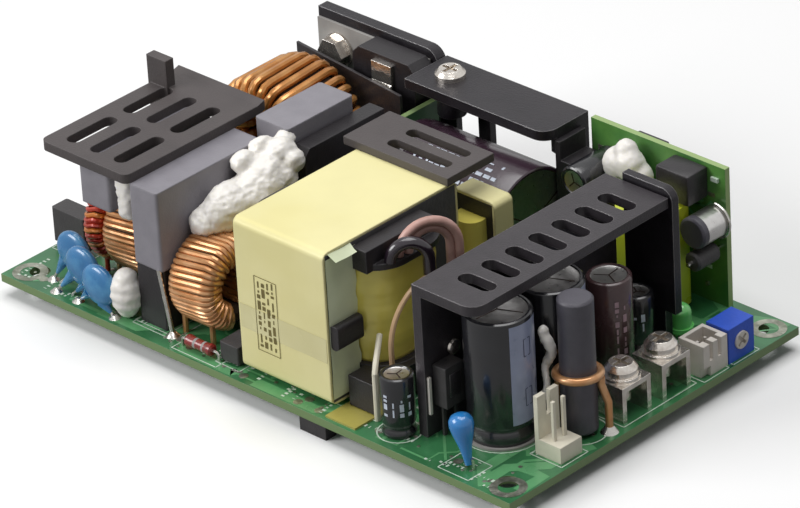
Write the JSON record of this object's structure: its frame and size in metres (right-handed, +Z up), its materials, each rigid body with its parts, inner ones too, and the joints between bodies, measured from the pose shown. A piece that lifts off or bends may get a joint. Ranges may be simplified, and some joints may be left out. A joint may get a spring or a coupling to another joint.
{
  "type": "open frame power supply",
  "caption": "Open frame switching power supply on a green circuit board, with taped transformer, toroid chokes, slotted heat sinks, screw terminals and a trimmer.",
  "frame": {"origin": "centre of the underside of the main board, which is also the centre of its four mounting holes", "axes": "+X along the long side of the board, from the mains end to the output end; +Y across the board to the rear heat sink; +Z up through the components"},
  "size_m": [0.127, 0.0762, 0.0406],
  "materials": {
    "pcb_green": "satin solder resist",
    "solder": "bright tin",
    "grey_plastic": "satin",
    "dark_grey": "satin",
    "ivory_nylon": "satin",
    "blue_ceramic": "glossy dipped coat",
    "coloured_wire": "glossy enamel",
    "copper_wire": "enamelled copper",
    "golden_wire": "enamelled copper",
    "black_plastic": "satin",
    "film_grey": "satin moulded case",
    "resistor_glass": "glossy",
    "black_metal": "black anodised, satin",
    "sheet_grey": "matt silicone rubber",
    "steel": "bright plated",
    "sheet_black": "matt",
    "sleeve_purple": "glossy sleeve",
    "sleeve_black": "glossy sleeve",
    "ferrite": "matt sintered",
    "tape_cream": "polyester tape",
    "tape_yellow": "polyester tape",
    "tape_lime": "polyester tape",
    "mat_olive": "satin film",
    "lead_pink": "satin sleeve",
    "silicone_white": "satin rubber",
    "white_plastic": "satin",
    "drop_blue": "glossy dipped coat",
    "lamp_green": "translucent moulding",
    "trimmer_blue": "satin"
  },
  "bodies": {
    "power_supply": {"main_board": "pcb_green", "solder_joints": "solder", "underside_tab": "grey_plastic", "input_fuse": "dark_grey", "mains_header": "ivory_nylon", "y_capacitors": "blue_ceramic", "coloured_choke": "coloured_wire", "mains_choke": "copper_wire", "filter_choke": "copper_wire", "relay": "black_plastic", "film_capacitor_1": "film_grey", "film_capacitor_2": "film_grey", "film_capacitor_3": "film_grey", "surge_resistor": "resistor_glass", "optocoupler": "dark_grey", "mains_vent_cover": "grey_plastic", "power_factor_choke": "golden_wire", "bridge_rectifier": "black_plastic", "rear_heat_sink": "black_metal", "heat_sink_pad": "sheet_grey", "switching_transistor": "black_plastic", "transistor_clip": "steel", "sink_bolt": "steel", "insulating_sheet": "sheet_black", "sense_board": "pcb_green", "bridge_bracket": "black_metal", "bridge_screw": "steel", "bridge_diode": "black_plastic", "bulk_capacitor": "sleeve_purple", "transformer_core": "ferrite", "transformer_tape": "tape_cream", "transformer_winding": "tape_yellow", "transformer_bobbin": "black_plastic", "transformer_mat": "mat_olive", "core_clip": "black_plastic", "winding_leads": "lead_pink", "transformer_vent_cover": "grey_plastic", "resonant_core": "ferrite", "resonant_tape": "tape_cream", "resonant_winding": "tape_yellow", "control_board": "pcb_green", "control_board_parts": "black_plastic", "control_capacitor": "sleeve_black", "standby_transformer": "tape_lime", "silicone_beads": "silicone_white", "output_heat_sink": "black_metal", "end_heat_sink": "black_metal", "sink_insulator": "white_plastic", "output_rectifier": "black_plastic", "output_capacitors": "sleeve_black", "ferrite_rod_choke": "ferrite", "small_capacitors": "sleeve_black", "sense_header": "ivory_nylon", "drop_capacitor": "drop_blue", "output_terminals": "steel", "terminal_screws": "steel", "fan_header": "white_plastic", "status_lamp": "lamp_green", "trimmer_body": "trimmer_blue"},
    "trimmer": {"trimmer_rotor": "white_plastic"}
  },
  "joints": [
    {"name": "trimmer_turn", "type": "hinge", "parent": "power_supply", "child": "trimmer", "pos_m": [0.0599, 0.0237, 0.0053], "axis": [1, 0, 0], "range_deg": [-130, 130]}
  ]
}
